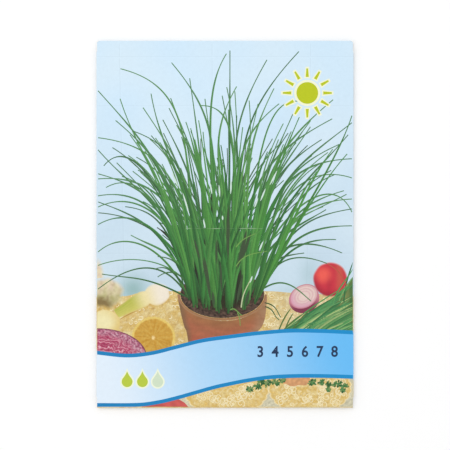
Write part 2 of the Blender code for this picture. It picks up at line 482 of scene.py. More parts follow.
def cloth_tint(u, v):
    tint = mix(CLOTH, CLOTH_GOLD, 0.45 + 0.9 * grain(u, v, 4.5, 7))
    tint = mix(tint, CLOTH_PALE, 0.25 + 1.2 * grain(u, v, 2.2, 11))
    tint = mix(tint, ink(186, 150, 92), 1.1 * grain(u, v, 0.7, 21))
    tint = mix(tint, ink(241, 229, 190), 1 * grain(u, v, 0.8, 31) - 0.1)
    tint = mix(tint, ink(218, 210, 176), 0.4 * ease(50, 60, u))
    return mix(tint, ink(205, 180, 120), 0.3 * patch(u, v, 25.5, 23.5, 3.2, 7))


CLOTH_EDGE = smooth_curve([(0, 35.5), (9, 35), (16, 36.8), (24, 36.6), (40, 36.2), (54, 36.6),
                           (62, 36), (80.5, 35.2)])


def background(u, v):
    return wall_tint(u, v) if v > CLOTH_EDGE(u) else cloth_tint(u, v)


def blurred(tone, u, v, share, start=0.8):
    """The tone of a thing that is out of focus: its edge melts into what is behind it."""
    return mix(tone, background(u, v), 0.85 * ease(start, 1.02, share))


def draw_wall():
    wall = Drawing("print_wall_tiles")
    wall.field(0, WIDTH, lambda u: WALL_FOOT, lambda u: HEIGHT, wall_tint, 8, rows=82)
    wall.finish(size=1.2, depth=0.025)
    lines = Drawing("print_tile_joints")

    def joint(path, light, level):
        tint = lambda t, side: dim(wall_tint(*path[round(t * (len(path) - 1))]), light)
        lines.ribbon(path, lambda t: 0.28, tint, level)

    for u in TILE_JOINTS_ACROSS:
        path = [(u + 0.00065 * (u - 40) * (k - 38) + 0.05 * grain(0, k, 9), 34 + k) for k in range(81)]
        joint(path, 0.955, 12)
        joint([(a + 0.32, b) for a, b in path], 1.015, 12.4)
    for v in TILE_JOINTS_UP:
        path = [(k * 1.15, v + 0.05 * grain(k, 5, 9)) for k in range(71)]
        joint(path, 0.965, 12.8)
        joint([(a, b - 0.30) for a, b in path], 1.015, 13.2)
    lines.finish(size=0.8, depth=0.03)


def draw_cloth():
    cloth = Drawing("print_tablecloth")
    cloth.field(0, WIDTH, lambda u: 0, CLOTH_EDGE, cloth_tint, 16, step=0.35, rows=110)
    cloth.finish(pattern="weave", size=0.7, depth=0.10)
    draw_lace()


def draw_lace():
    """Thin pale loops and scrolls, the openwork of the cloth's lace."""
    rng = random.Random(11)
    lace = Drawing("print_lace_threads")
    pale = ink(243, 230, 190)
    gold = ink(211, 178, 108)
    for number in range(520):
        u = rng.uniform(1, 80)
        v = rng.choice((rng.uniform(24, 36), rng.uniform(17, 36), rng.uniform(0.5, 9)))
        if BAND_BOTTOM(u) < v < BAND_TOP(u) - 1:
            continue
        turn = rng.uniform(0, 2 * pi)
        radius = rng.uniform(0.3, 0.9)
        sweep = rng.uniform(2.5, 6)
        path = spiral((u, v), radius, turn, sweep, 12, 0.5, 0.75)
        tone = pale if rng.random() < 0.6 else gold
        lace.ribbon(path, lambda t: 0.2, lambda t, side, c=tone: c, 18 + number * 0.005)
    lace.finish(size=0.4, depth=0.05)


# ---- the picture's food


def draw_garlic():
    garlic = Drawing("print_garlic")
    pale = ink(230, 218, 182)
    rose = ink(222, 202, 176)
    brown = ink(136, 116, 76)
    gold = ink(190, 184, 132)

    def tint(u, v, share, angle):
        low = ease(0, 1, (39 - v) / 4.6)
        corner = ease(0, 1, (36 - v) / 4)
        left = ease(7.5, 0.5, u)
        ribs = 0.5 + 0.5 * sin(1.9 * (u - 0.25 * (v - 36)) + 2.2 * grain(u, v, 2.5, 3))
        tone = mix(pale, rose, ribs)
        tone = mix(tone, gold, 0.85 * low + 0.5 * grain(u, v, 1.6, 6))
        tone = mix(tone, brown, min(1, 1.6 * corner * left + 0.45 * max(0, grain(u, v, 1, 2))))
        return blurred(tone, u, v, share, 0.72)

    def neck_tint(u, v, share, angle):
        return blurred(mix(pale, rose, 0.5 + grain(u, v, 1.2)), u, v, share, 0.35)

    garlic.disc((0.6, 42), ellipse(1.9, 5.2, turn=0.12), neck_tint, 20)
    garlic.disc((3.2, 36), ellipse(5.5, 5, wobble=0.14, seed=2), tint, 22, rings=22, spokes=80)
    garlic.finish(size=0.6, depth=0.07)


def draw_spring_onion():
    onion = Drawing("print_spring_onion")
    white = ink(240, 230, 212)
    cream = ink(236, 222, 168)
    green = ink(170, 178, 70)
    lime = ink(208, 200, 108)
    line = bezier((22.9, 36.4), -98, (6.2, 29.4), -120, rise=0.4, sweep=0.4, step=0.3)

    def width(t):
        bulb = 7.1 * sqrt(max(0, 1 - ((t - 0.21) / 0.22) ** 2))
        stalk = 5.3 - 2 * ease(0.45, 1, t)
        return max(0.3, bulb, stalk * ease(0.05, 0.5, t))

    def tint(t, side, spot):
        tone = mix(white, cream, ease(0.12, 0.45, t))
        tone = mix(tone, mix(green, lime, 0.5 - 0.5 * side), ease(0.40, 0.72, t))
        streak = 0.5 + 0.5 * sin(17 * side + 1.5 * sin(9 * t))
        tone = mix(tone, lime, 0.35 * streak * ease(0.45, 0.7, t))
        return blurred(tone, *spot, max(abs(side), 1 - 9 * t), 0.78)

    onion.strip(line, width, 14, tint, 24)
    shade = [(u + 0.4, v - 2.4 + 0.2 * k / 20) for k, (u, v) in enumerate(line[24:])]
    onion.ribbon(shade, lambda t: 0.7 * sin(pi * t) + 0.1,
                 lambda t, side: mix(ink(176, 136, 66), ink(222, 192, 124), abs(side)), 22.5)
    onion.finish(size=0.7, depth=0.05)


def draw_onion_bulb():
    bulb = Drawing("print_white_bulb")
    light = ink(240, 230, 180)
    gold = ink(224, 198, 124)

    def tint(u, v, share, angle):
        tone = mix(light, gold, ease(0.2, 1, share) * (0.6 + 0.4 * cos(angle + 0.6)))
        return blurred(tone, u, v, share, 0.9)

    bulb.disc((2.6, 26.6), ellipse(4.9, 4.2, wobble=0.04, seed=4), tint, 26)
    bulb.finish(size=0.8, depth=0.05)


LEMON = (17.9, 22)


def draw_lemon():
    lemon = Drawing("print_lemon_half")
    peel = ink(222, 196, 112)
    pith = ink(226, 198, 112)
    flesh = ink(208, 168, 82)
    deep = ink(192, 142, 56)
    core = ink(236, 208, 146)

    def tint(u, v, share, angle):
        wedge = abs(sin(angle * 5 + 1.2 * sin(angle)))
        fibres = noise.noise(Vector((7 * cos(angle), 7 * sin(angle), 1.5 * share)))
        tone = mix(flesh, deep, 0.5 + 0.7 * fibres + 0.5 * grain(u, v, 0.7, 5))
        tone = mix(tone, ink(224, 188, 108), 0.25 * (1 - ease(0, 0.18, wedge)) * ease(0.1, 0.3, share))
        tone = mix(core, tone, ease(0.03, 0.13, share + 0.05 * grain(u, v, 0.6, 8)))
        tone = mix(tone, pith, ease(0.85, 0.91, share + 0.03 * grain(u, v, 1, 4)))
        return mix(tone, mix(peel, cloth_tint(u, v), ease(0.96, 1, share)), ease(0.93, 0.97, share))

    lemon.disc(LEMON, ellipse(6.9, 6.7, wobble=0.04), tint, 30, rings=30, spokes=120)
    lemon.finish(pattern="cells", size=0.55, depth=0.08)


def draw_red_cabbage():
    cabbage = Drawing("print_red_cabbage")
    skin = ink(112, 52, 72)
    pink = ink(202, 92, 122)
    deep = ink(160, 52, 88)
    white = ink(236, 206, 214)
    outline = ellipse(15.2, 9)

    def tint(u, v, share, angle):
        warp = 7 * grain(u, v, 2.6, 9) + 3 * grain(u, v, 0.9, 14)
        folds = sin(share * 40 + 1.3 * warp)
        fine = sin(share * 90 + 2.6 * warp)
        tone = mix(deep, pink, 0.55 + 0.45 * folds)
        tone = mix(tone, white, 0.46 * ease(0.6, 1, folds) + 0.28 * ease(0.6, 1, fine))
        tone = mix(tone, ink(128, 44, 78), 0.5 * ease(0.6, 1, -fine))
        rind = ease(0.70, 0.84, share + 0.05 * grain(u, v, 1, 6))
        speck = 0.5 + 1.6 * grain(u, v, 0.42, 16)
        outer = mix(ink(126, 56, 86), ink(206, 138, 160), speck)
        outer = mix(outer, white, 0.6 * ease(0.6, 1, sin(share * 60 + 1.5 * warp)))
        tone = mix(tone, outer, 0.85 * rind)
        return mix(tone, skin, 0.85 * ease(0.95, 0.99, share))

    cabbage.disc((0.6, 15.9), outline, tint, 34, rings=56, spokes=200)
    cabbage.finish(size=0.45, depth=0.14)


TOMATO = (73.2, 40.2)


def draw_tomato():
    tomato = Drawing("print_tomato")
    red = ink(202, 60, 74)
    light = ink(238, 98, 88)
    rose = ink(238, 134, 126)
    dark = ink(150, 44, 60)
    orange = ink(200, 110, 84)

    def tint(u, v, share, angle):
        side = hypot(u - TOMATO[0] + 2.2, v - TOMATO[1] - 1.4)
        tone = mix(light, red, ease(0.6, 3.8, side))
        tone = mix(tone, orange, 0.5 * exp(-(((u - TOMATO[0] - 3) / 1.2) ** 2)))
        tone = mix(tone, dark, 0.75 * ease(0.5, 1, share) * ease(0.3, -0.9, sin(angle + 0.3)))
        seam = exp(-(((u - TOMATO[0] + 0.4) / 0.9) ** 2))
        tone = mix(tone, dark, 0.25 * seam * ease(2.5, -1, v - TOMATO[1]))
        tone = mix(tone, rose, 0.7 * ease(0.88, 1, share) * ease(-0.1, 0.8, sin(angle)))
        return blurred(tone, u, v, share, 0.9)

    tomato.disc(TOMATO, ellipse(5.5, 5.5, wobble=0.03, seed=1), tint, 28, rings=24, spokes=96)
    tomato.finish(size=0.9, depth=0.04)


ONION = (64.9, 34.6)


def draw_half_onion():
    onion = Drawing("print_onion_half")
    skin = ink(132, 64, 84)
    rim = ink(198, 130, 144)
    pale = ink(230, 206, 198)
    ring = ink(206, 154, 164)
    lilac = ink(216, 164, 182)

    def outside(u, v, share, angle):
        return mix(rim, skin, ease(0.1, -0.8, sin(angle + 0.35)))

    def inside(u, v, share, angle):
        layers = 0.5 + 0.5 * cos(share * 30)
        tone = mix(pale, ring, 0.55 * layers * ease(0.15, 0.5, share))
        tone = mix(tone, lilac, ease(0.35, 0.95, share) * ease(0.4, -0.7, cos(angle - 0.5)))
        return mix(tone, rim, ease(0.86, 0.97, share))

    onion.disc((ONION[0] + 0.1, ONION[1] - 0.5), ellipse(4.9, 4.3, turn=0.45), outside, 31,
               rings=12, spokes=72)
    onion.disc((ONION[0], ONION[1] + 0.35), ellipse(4.7, 3.55, turn=0.5), inside, 32.5, rings=26, spokes=72)
    onion.finish(size=0.7, depth=0.05)


def draw_cut_chives():
    rng = random.Random(23)
    bundle = Drawing("print_cut_chives")
    greens = (ink(72, 132, 82), ink(88, 150, 90), ink(116, 166, 102), ink(60, 112, 70), ink(82, 144, 94),
              ink(66, 122, 78), ink(168, 188, 124))
    under = lambda u, v: mix(ink(70, 112, 68), ink(140, 144, 88), 0.3 + 1.1 * grain(u, v, 1.8, 8))
    upper = smooth_curve([(60, 23.5), (63, 26.4), (67, 29.3), (72, 32.8), (77, 37), (80.5, 41)])
    bundle.field(62, WIDTH, lambda u: 22, upper, under, 36, step=0.8, rows=16)

    def blade(base, tip, lean, bend, wide, tone, level):
        bundle.ribbon(
            bezier(base, lean - bend, tip, lean + bend, 0.4, 0.4),
            lambda t: wide * min(1, 5 * (1.02 - t)) ** 0.5,
            lambda t, side: dim(tone, 1 + 0.22 * side),
            level,
        )

    for number in range(150):
        share = rng.random()
        base = (54 + 27 * share + rng.uniform(-1, 1), 21.5)
        lean = rng.uniform(48, 64)
        reach = rng.uniform(9, 27)
        across = min(base[0] + reach * sin(radians(lean)), 80.3)
        up = base[1] + (across - base[0]) / tan(radians(lean))
        tip = (across, min(up, upper(across) + rng.uniform(-1.5, 1)))
        tone = some_tone(rng, greens, greens)
        blade(base, tip, lean, rng.uniform(2, 12), rng.uniform(0.3, 0.62), tone, 37 + number * 0.06)
    for base, tip, lean in (((56.4, 22.5), (60.8, 31.2), 28), ((58.4, 22.5), (61.6, 29.8), 24),
                            ((57.2, 22.8), (64.5, 29.4), 48), ((60, 22.6), (67.8, 31.5), 44),
                            ((74, 32.5), (80.3, 43.5), 22), ((76, 33.5), (80.3, 41), 26),
                            ((73, 33), (79.2, 38.4), 50), ((77.5, 33), (80.3, 45.6), 10)):
        blade(base, tip, lean, 8, 0.42, rng.choice(greens) if base[0] > 62 else ink(86, 116, 64), 47)
    bundle.finish(size=0.5, depth=0.10)


# ---- the pot and its plant

POT_MIDDLE = 39.4
SOIL_TOP = 35.6
POT_BOTTOM = 16
RIM_HALF_WIDTH = 14.1
RIM_HALF_DEPTH = 8.3
SOIL_HALF_WIDTH = 13.1
SOIL_HALF_DEPTH = 7.4


def draw_pot():
    pot = Drawing("print_flowerpot")
    clay = ink(170, 104, 78)
    red = ink(187, 92, 76)
    brown = ink(156, 108, 74)
    dull = ink(120, 102, 76)
    lip = ink(166, 130, 98)
    left = smooth_curve([(POT_BOTTOM, 29.6), (20.5, 28.8), (24.4, 28.1), (25.2, 27.6), (30, 26.4),
                         (SOIL_TOP, POT_MIDDLE - RIM_HALF_WIDTH)])
    right = smooth_curve([(POT_BOTTOM, 49), (20.5, 49.8), (24, 50.4), (25.2, 51.6), (28, 52.7),
                          (31, 53.1), (SOIL_TOP, POT_MIDDLE + RIM_HALF_WIDTH)])

    def front_edge(share):
        return SOIL_TOP - RIM_HALF_DEPTH * sqrt(max(0, 1 - (2 * share - 1) ** 2))

    def tint(u, v, across, drop):
        tone = mix(mix(brown, clay, ease(0, 0.35, drop)), red, ease(0.35, 1, drop))
        tone = mix(tone, dull, 0.75 * (1 - ease(0, 0.10, across)))
        tone = mix(tone, ink(164, 136, 106), 0.7 * ease(0.82, 1, across))
        tone = mix(tone, ink(150, 104, 74), 0.8 * grain(u, v * 2.5, 3, 4))
        return dim(tone, 1 + 0.16 * grain(u, v * 3, 4, 4))

    columns, rows = 96, 36
    lines = []
    for column in range(columns + 1):
        share = 0.5 - 0.5 * cos(pi * column / columns)
        line = []
        for row in range(rows + 1):
            drop = row / rows
            v = front_edge(share) + (POT_BOTTOM - front_edge(share)) * drop
            u = left(v) + (right(v) - left(v)) * share
            line.append(pot.add(u, v, 46, tint(u, v, share, drop)))
        lines.append(line)
    pot.join(list(zip(*lines)))

    def on_lip(angle, grow):
        half_width = SOIL_HALF_WIDTH + (RIM_HALF_WIDTH - SOIL_HALF_WIDTH) * grow
        half_depth = SOIL_HALF_DEPTH + (RIM_HALF_DEPTH - SOIL_HALF_DEPTH) * grow
        return (POT_MIDDLE + half_width * cos(angle), SOIL_TOP + half_depth * sin(angle))

    ring = [on_lip(pi + pi * k / 60, 0.5) for k in range(61)]
    pot.ribbon(ring, lambda t: 0.75, lambda t, side: mix(lip, brown, 0.5 - 0.5 * side), 47.5)
    pot.finish(size=1.1, depth=0.10)

    soil = Drawing("print_soil")
    dark = ink(48, 40, 36)
    loam = ink(110, 88, 76)

    def crumbs(u, v, share, angle):
        crumb = mix(dark, loam, 0.42 + 1.1 * grain(u, v, 0.7, 12))
        return mix(ink(52, 52, 40), crumb, ease(0.45, 0.88, share))

    soil.disc((POT_MIDDLE, SOIL_TOP), ellipse(SOIL_HALF_WIDTH, SOIL_HALF_DEPTH), crumbs, 48,
              rings=24, spokes=110)
    soil.finish(pattern="cells", size=0.5, depth=0.25)


LEAF_LEVEL = 52
LEAF_STEP = 0.25
GAP_LEVEL = 131.3
LIGHT_LEVEL = 131.5
PALE_LEAF_LEVEL = 131.7
# How near the sides a leaf's tip comes, how far from the pot's middle its foot is, and how far it leans.
TIP_MARGIN = 0.5
WIDEST_FOOT = 11.4
STEEPEST_LEAN = 88
# Where the shoots stand close together, counted from the pot's middle.
CLUMPS = (-11, -8.4, -5, -1.4, 2.4, 7.4, 10.6)
leaf_count = 0


def base_point(u, depth):
    """A leaf's foot in the soil. depth is 1 at the front of the pot and -1 at its back."""
    share = (u - POT_MIDDLE) / (SOIL_HALF_WIDTH - 0.6)
    reach = (SOIL_HALF_DEPTH - 0.7) * sqrt(max(0, 1 - share * share))
    return u, SOIL_TOP - depth * reach


def in_clump(u, rng):
    """The clump of shoots nearest to u, and a place in it."""
    nearest = min(CLUMPS, key=lambda clump: abs(POT_MIDDLE + clump - u))
    return POT_MIDDLE + nearest + max(-1.1, min(1.1, rng.gauss(0, 0.6)))


def draw_leaf(drawing, path, width, tone, light, foot=0.7, slim=0.5, pale=0.35):
    """One round, hollow leaf: a bright line down one side, darker at its foot, fine at its tip."""
    global leaf_count
    leaf_count += 1

    def half_width(t):
        rooted = 0.55 + 0.45 * ease(0, 0.07, t)
        return max(0.30, rooted * width * (1.25 - (slim + 0.25) * t) * min(1, 5 * (1 - t)) ** 0.6)

    def tint(t, side):
        shade = foot + (1 - foot) * ease(0, 0.35, t)
        lit = light if side > 0 else 1 if side == 0 else 1.8 - light
        green = mix(FOOT_GREEN, tone, 0.5 + 0.5 * ease(0, 0.09, t))
        return dim(mix(green, TIP_GREEN, pale * ease(0.3, 0.9, t)), shade * lit)

    drawing.ribbon(path, half_width, tint, LEAF_LEVEL + leaf_count * LEAF_STEP)


FOOT_GREEN = ink(56, 72, 48)
BRIGHT_GREEN = ink(86, 150, 72)
TIP_GREEN = ink(116, 150, 118)
DEEP_GREENS = (ink(52, 60, 48), ink(58, 70, 52), ink(56, 56, 46), ink(62, 82, 56))
DARK_GREENS = (ink(58, 86, 56), ink(62, 96, 60), ink(52, 78, 52), ink(70, 106, 66))
MID_GREENS = (ink(62, 118, 64), ink(76, 134, 72), ink(56, 102, 60), ink(88, 146, 80))
FRONT_GREENS = (ink(66, 128, 66), ink(82, 144, 72), ink(58, 112, 60), ink(94, 152, 80), ink(52, 96, 54))


def fan(name, count, seed, greens, spread, depths, widths, reaches, foot, loose=False, pale=0.35):
    """Leaves that rise from the pot in a fan and bend outward."""
    rng = random.Random(seed)
    leaves = Drawing(name)
    for _ in range(count):
        lean = max(-STEEPEST_LEAN, min(STEEPEST_LEAN, rng.gauss(0, spread)))
        outward = lean / 60
        foot_u = 8.5 * outward + rng.uniform(-6, 6)
        foot_u = POT_MIDDLE + max(-WIDEST_FOOT, min(WIDEST_FOOT, foot_u))
        if not loose:
            foot_u = in_clump(foot_u, rng)
        base = base_point(foot_u, rng.uniform(*depths))
        low, high = reaches
        reach = (low + (high - low) * rng.random() ** 1.5) * (1 - 0.22 * min(1, abs(outward)))
        tip = (POT_MIDDLE + 0.5 * (foot_u - POT_MIDDLE) + reach * sin(radians(lean)),
               SOIL_TOP + 1 + reach * cos(radians(lean * 0.92)))
        if not TIP_MARGIN < tip[0] < WIDTH - TIP_MARGIN:
            edge = TIP_MARGIN if tip[0] < TIP_MARGIN else WIDTH - TIP_MARGIN
            shrink = (edge - base[0]) / (tip[0] - base[0])
            tip = (edge, base[1] + (tip[1] - base[1]) * shrink)
        path = bezier(base, lean * 0.30, tip, lean * rng.uniform(1.1, 1.9) + rng.uniform(-9, 9),
                      rise=rng.uniform(0.42, 0.56), sweep=rng.uniform(0.24, 0.36))
        tone = some_tone(rng, greens, greens)
        draw_leaf(leaves, path, rng.uniform(*widths), tone, 1 + rng.uniform(0.1, 0.3), foot, pale=pale)
    leaves.finish(size=0.6, depth=0.12)


# Tip across, tip up, lean at the tip, foot across, lean at the foot,
# and the sweep of the tip where it is not USUAL_SWEEP.
USUAL_SWEEP = 0.35
ARCHING_LEFT = (
    (7.5, 106.2, -76, 32, -7, 0.34), (23.5, 108.1, -40, 37, -3, 0.38), (40.7, 110.9, 32, 38.5, -3, 0.21),
    (0.5, 99.3, -42, 31, -14), (7.4, 96.8, -18, 31.5, -14), (17.1, 98.4, -10, 33, -8),
    (14.6, 94, -34, 34, -8), (20.8, 90.2, -28, 35, -6), (11.1, 86.8, -71, 33, -12),
    (0.5, 84.6, -83, 34, -14, 0.38), (2.3, 75.8, -141, 33, -20, 0.28), (0.5, 80.8, -41, 30, -22),
    (0.5, 73.3, -75, 32, -20), (0.5, 71.7, -95, 33, -16), (0.5, 66.4, -100, 31, -22),
    (0.5, 64.5, -70, 30, -28), (0.5, 62.9, -115, 32, -20), (0.5, 57.4, -120, 30, -26),
    (0.5, 48.8, -132, 29.5, -32), (29.2, 103.2, -8, 36, -3), (25.1, 88.5, -30, 36, -4),
    (10.8, 54.1, -61, 31, -38), (3, 69, -120, 32, -24, 0.3), (6, 90, -50, 32, -16),
    (12.5, 78.5, -62, 32.5, -20), (18, 71, -58, 31.5, -26), (9, 63, -84, 31, -30),
)
ARCHING_RIGHT = (
    (41.8, 111.9, 0, 42, 0), (53.4, 109, 30, 43.5, 2, 0.38), (63.4, 111.6, 43, 44, 4, 0.38),
    (55.6, 100, 27, 45, 4), (57.2, 95.2, 52, 44, 5), (74.1, 96.5, 50, 46, 10),
    (73.8, 90.5, 62, 44, 8, 0.38), (80, 89.3, 52, 48, 16), (80, 78, 88, 47, 16, 0.38),
    (80, 72, 108, 46, 22), (80, 61.3, 156, 47, 18, 0.4), (80, 65.4, 87, 50, 24), (80, 62.3, 81, 50, 32),
    (80, 57, 90, 51, 33), (76.9, 48.5, 114, 48, 27, 0.45), (75, 52.7, 92, 50, 36), (65, 48.5, 83, 49, 18),
    (50.6, 95.2, 12, 42, 3), (43.9, 100.6, 30, 41, 0), (40.8, 100.4, -12, 42, 0),
    (47.8, 96.2, -5, 43.5, 2), (63.7, 95.9, 100, 46, 8, 0.2), (32.5, 94.6, -92, 43, 0, 0.25),
    (70.5, 84, 58, 46, 14), (76, 82.5, 66, 47, 18), (67, 88, 34, 46, 12), (77.5, 68, 74, 49, 24),
    (61.5, 92, 24, 45, 10), (71, 63, 70, 50, 28), (78.8, 85.5, 40, 48.5, 20),
)
# Low leaves that leave the pot sideways: foot across and up as well.
LOW_ARCHES = (
    ((28, 36), -33, (0.5, 37.2), -128), ((29, 34.4), -62, (1.7, 41.9), -81),
    ((51.6, 37.4), 22, (72.2, 45.2), 112), ((51.6, 37), 55, (67.2, 33.4), 131),
    ((27.5, 38.5), -40, (18.4, 43.5), -112), ((28.5, 39), -35, (19.2, 41), -128),
    ((28.5, 40.5), -30, (19.2, 47.4), -86), ((52.6, 33), 100, (57.6, 28.4), 150),
    ((52.8, 31.8), 105, (57.2, 27.6), 120),
)


# Parallel leaves that bend away together: tip across, tip up, lean at the tip, foot across.
LEFT_SHEAF = (
    (16, 80.5, -44, 31), (18.5, 84.5, -34, 32.5), (10, 79, -56, 30.8), (21, 86, -26, 34),
    (13, 74.5, -60, 30.4), (8, 72.5, -72, 30), (5, 81.5, -58, 31),
)
RIGHT_SHEAF = (
    (60, 86, 36, 46.5), (62.5, 83, 42, 47), (64.5, 86.5, 34, 46), (58.5, 89, 28, 45.5),
    (67.5, 79, 52, 48.5), (70, 76.5, 58, 49), (65, 74.5, 50, 49.5), (72.5, 80, 54, 48), (57, 84, 22, 45),
    (74.5, 73, 68, 50),
)


# Broad, bright leaves in front: tip across, tip up, lean at the tip, foot across, lean there, width.
BRIGHT_LEAVES = (
    (12.6, 83.2, -36, 31.2, -14, 0.56), (15.2, 80.5, -34, 31.6, -14, 0.66),
    (10.5, 85.5, -38, 31, -15, 0.46), (28, 89.5, -20, 36, -3, 0.8), (29.5, 87.5, -16, 36.5, -3, 0.9),
    (30.8, 84, -14, 37, -2, 0.9), (32, 90, -10, 37.5, -2, 0.6), (80, 91.5, 18, 50.5, 26, 0.7),
    (74, 81, 38, 50.8, 25, 0.8), (69, 74, 40, 51, 24, 0.85), (78.5, 79.5, 42, 51, 27, 0.55),
    (63.5, 91, 24, 47, 8, 0.8), (61, 86.5, 26, 46.8, 8, 0.9), (58.5, 82.5, 22, 46.3, 6, 0.9),
)


def sheaf(drawing, tips, side):
    rng = random.Random(71 + side)
    for tip_u, tip_v, tip_lean, foot_u in tips:
        foot = base_point(0.5 * foot_u + 0.5 * in_clump(foot_u, rng), rng.uniform(-0.2, 0.7))
        path = bezier(foot, 0.30 * tip_lean, (tip_u, tip_v), tip_lean, 0.52, 0.33)
        tone = some_tone(rng, MID_GREENS, FRONT_GREENS)
        draw_leaf(drawing, path, rng.uniform(0.5, 0.72), tone, 1.16, 0.8, 0.45)


def draw_plant():
    fan("print_leaves_core", 70, 29, DEEP_GREENS, 12, (-0.7, 0.3), (1.1, 1.7), (18, 34), 0.85,
        loose=True, pale=0)
    fan("print_leaves_back", 42, 31, DARK_GREENS, 20, (-0.9, 0.2), (0.42, 0.65), (32, 56), 0.85)
    fan("print_leaves_stray", 24, 37, MID_GREENS, 34, (-0.6, 0.4), (0.30, 0.44), (42, 68), 0.85)
    fan("print_leaves_middle", 38, 47, MID_GREENS, 20, (-0.2, 0.7), (0.62, 0.88), (30, 58), 0.82, pale=0.12)
    arching = Drawing("print_leaves_arching")
    rng = random.Random(5)
    for tip_u, tip_v, tip_lean, foot_u, foot_lean, *sweep in ARCHING_LEFT + ARCHING_RIGHT:
        foot = base_point(0.5 * foot_u + 0.5 * in_clump(foot_u, rng), rng.uniform(-0.3, 0.8))
        path = bezier(foot, 0.7 * foot_lean, (tip_u, tip_v), tip_lean, 0.57, *(sweep or [USUAL_SWEEP]))
        tone = some_tone(rng, MID_GREENS, FRONT_GREENS)
        draw_leaf(arching, path, rng.uniform(0.56, 0.78), tone, 1.14, 0.8, 0.45)
    for base, base_lean, tip, tip_lean in LOW_ARCHES:
        path = bezier(base, base_lean, tip, tip_lean, step=0.8)
        tone = mix(rng.choice(MID_GREENS), rng.choice(DARK_GREENS), 0.6)
        draw_leaf(arching, path, 0.34 if tip[1] < 30 else 0.46, tone, 1.1, 0.9, 0.35)
    sheaf(arching, LEFT_SHEAF, -1)
    sheaf(arching, RIGHT_SHEAF, 1)
    for tip_u, tip_v, tip_lean, foot_u, foot_lean, width in BRIGHT_LEAVES:
        foot = base_point(foot_u, rng.uniform(0.2, 0.8))
        path = bezier(foot, foot_lean, (tip_u, tip_v), tip_lean, 0.42, 0.25)
        tone = mix(rng.choice(FRONT_GREENS), BRIGHT_GREEN, 0.6)
        draw_leaf(arching, path, width, tone, 1.12, 0.85, 0.45, pale=0.15)
    arching.finish(size=0.6, depth=0.12)
    fan("print_leaves_front", 26, 59, FRONT_GREENS, 14, (0.35, 0.92), (0.72, 1.05), (24, 50), 0.95,
        pale=0.05)
    draw_light_and_pale_leaves()


# Slits between the leaves where the wall shows: across, up, length, lean.
LIGHT_SLITS = (
    (28, 64.2, 6.5, -17), (33.8, 57.6, 2.8, -12), (38.5, 67.9, 3.8, -4), (42.1, 69.2, 4.6, 2),
    (35.9, 68.6, 3.4, -10), (52.1, 66.7, 4.2, 22), (50, 64.2, 3.2, 20), (51.5, 50.7, 3.2, 24),
    (48.4, 40.3, 2.2, 20), (39.5, 59.5, 1.4, -5), (24.6, 71.5, 5, -24), (55.4, 72, 5, 27),
)
# Dark hollows between the shoots: across, up, length, lean, width.
HOLLOWS = (
    (41.2, 55, 17, 0, 1), (45.6, 49.6, 12.5, 13, 1.2), (46.9, 50.6, 9, 18, 0.9), (34.8, 40.4, 14, -8, 1),
    (34.2, 42.4, 9, -12, 0.7), (39, 41, 9.5, -3, 0.7), (44.9, 37.4, 9.5, 12, 0.9),
    (47.2, 34.4, 5.5, 14, 0.9), (31.5, 49.7, 6.3, -16, 0.7), (37.6, 49, 8, -2, 0.6),
    (36.6, 34, 5, -4, 0.8),
)
# Thin pale leaves in front of the others: foot, lean at the foot, tip, lean at the tip, width.
PALE_LEAVES = (
    ((43.7, 44.4), 30, (53.4, 49.1), 78, 0.34), ((43.7, 50.4), 35, (49.8, 54.6), 66, 0.34),
    ((45.3, 31.5), 4, (48.2, 40.2), 26, 0.42), ((41.9, 30.8), 50, (45.6, 29), 118, 0.4),
    ((44.1, 29.9), 150, (45, 25.8), 176, 0.3), ((72.4, 45.1), 116, (78.4, 38.2), 150, 0.34),
)


def draw_light_and_pale_leaves():
    front = Drawing("print_light_and_pale_leaves")
    light = ink(208, 228, 220)
    pale = ink(116, 158, 84)
    straw = ink(186, 196, 156)
    hollow = ink(60, 82, 58)
    brown = ink(76, 88, 66)

    def slit(u, v, length, lean, width, tint, level):
        across, up = sin(radians(lean)), cos(radians(lean))
        path = [(u + (k / 10 - 0.5) * length * across, v + (k / 10 - 0.5) * length * up) for k in range(11)]
        front.ribbon(path, lambda t: 0.08 + width * sin(pi * t) ** 0.8, tint, level)

    hollow_tint = lambda t, side: mix(hollow, brown, 0.5 + 0.5 * side * (2 * t - 1))
    for number, place in enumerate(HOLLOWS):
        slit(*place, hollow_tint, GAP_LEVEL + 0.01 * number)
    for place in LIGHT_SLITS:
        slit(*place, 0.42, lambda t, side: light, LIGHT_LEVEL)
    for number, (foot, foot_lean, tip, tip_lean, width) in enumerate(PALE_LEAVES):
        path = bezier(foot, foot_lean, tip, tip_lean, 0.45, 0.35, step=0.7)
        tone = straw if number == 2 else ink(186, 92, 74) if foot[0] > 70 else pale
        front.ribbon(path, lambda t, w=width: w * (1 - 0.35 * t),
                     lambda t, side, c=tone: dim(c, 1 + 0.12 * side), PALE_LEAF_LEVEL + 0.02 * number)
    front.finish(size=0.6, depth=0.08)


# ---- the band and below it


